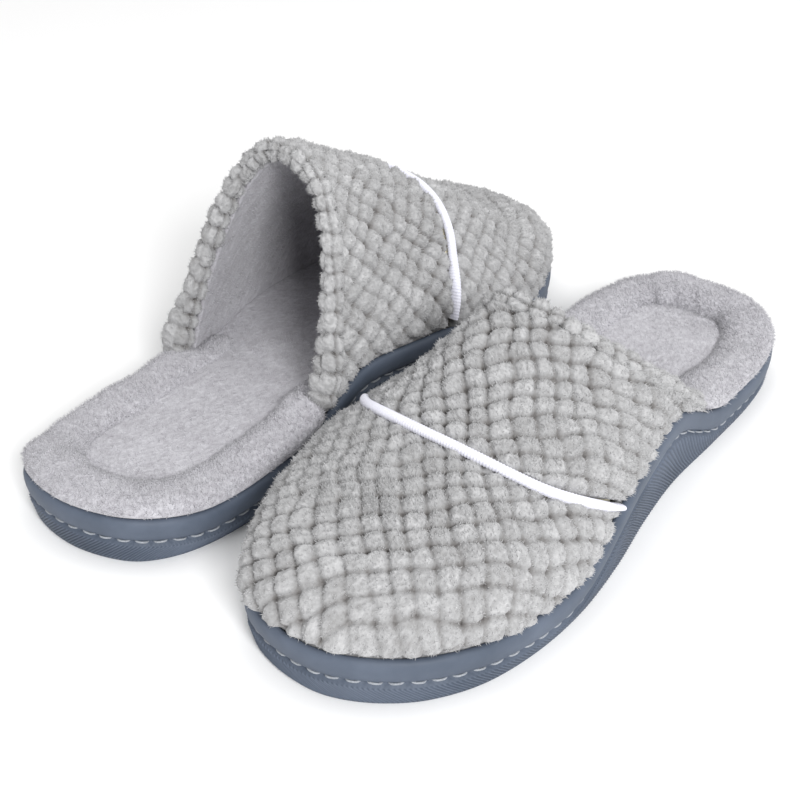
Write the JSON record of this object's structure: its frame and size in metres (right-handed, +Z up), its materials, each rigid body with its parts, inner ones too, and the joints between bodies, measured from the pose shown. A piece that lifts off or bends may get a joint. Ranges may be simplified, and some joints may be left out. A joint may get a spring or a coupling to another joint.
{
  "type": "spa slippers",
  "caption": "Pair of open-heel plush slippers with a moulded rubber cup sole, contoured foam bed, padded heel rim and soft upper with a piped seam.",
  "frame": {"origin": "on the floor under the middle of the pair's bounding box", "axes": "+X along both slippers, the left one's toe towards +X and the right one's towards -X; +Z up from the floor; the left slipper lies at +Y and the right one at -Y"},
  "size_m": [0.2694, 0.2088, 0.1002],
  "materials": {
    "rubber_sole": "moulded thermoplastic rubber, satin, finely ribbed side wall",
    "sole_thread": "waxed side-stitch thread",
    "popcorn_plush": "cut-pile plush with raised popcorn bumps",
    "fleece": "short brushed-pile fleece",
    "rib_knit": "white rib-knit piping",
    "foam": "soft open-cell foam",
    "eva_foam": "moulded closed-cell foam",
    "fibre_board": "pressed fibre insole board"
  },
  "bodies": {
    "right_slipper": {"right_outsole": "rubber_sole", "right_side_stitch": "sole_thread", "right_midsole": "eva_foam", "right_insole_board": "fibre_board", "right_memory_foam": "foam", "right_insole_sock": "fleece", "right_heel_rim_foam": "foam", "right_heel_rim_cover": "fleece", "right_vamp_panel": "popcorn_plush", "right_toe_panel": "popcorn_plush", "right_piping": "rib_knit", "right_interlining": "foam", "right_lining": "fleece", "right_collar_edge": "popcorn_plush"},
    "left_slipper": {"left_outsole": "rubber_sole", "left_side_stitch": "sole_thread", "left_midsole": "eva_foam", "left_insole_board": "fibre_board", "left_memory_foam": "foam", "left_insole_sock": "fleece", "left_heel_rim_foam": "foam", "left_heel_rim_cover": "fleece", "left_vamp_panel": "popcorn_plush", "left_toe_panel": "popcorn_plush", "left_piping": "rib_knit", "left_interlining": "foam", "left_lining": "fleece", "left_collar_edge": "popcorn_plush"}
  },
  "joints": [
    {"name": "left_slipper_lift", "type": "slide", "parent": "right_slipper", "child": "left_slipper", "axis": [0, 0, 1], "range_m": [0, 0.2]}
  ]
}
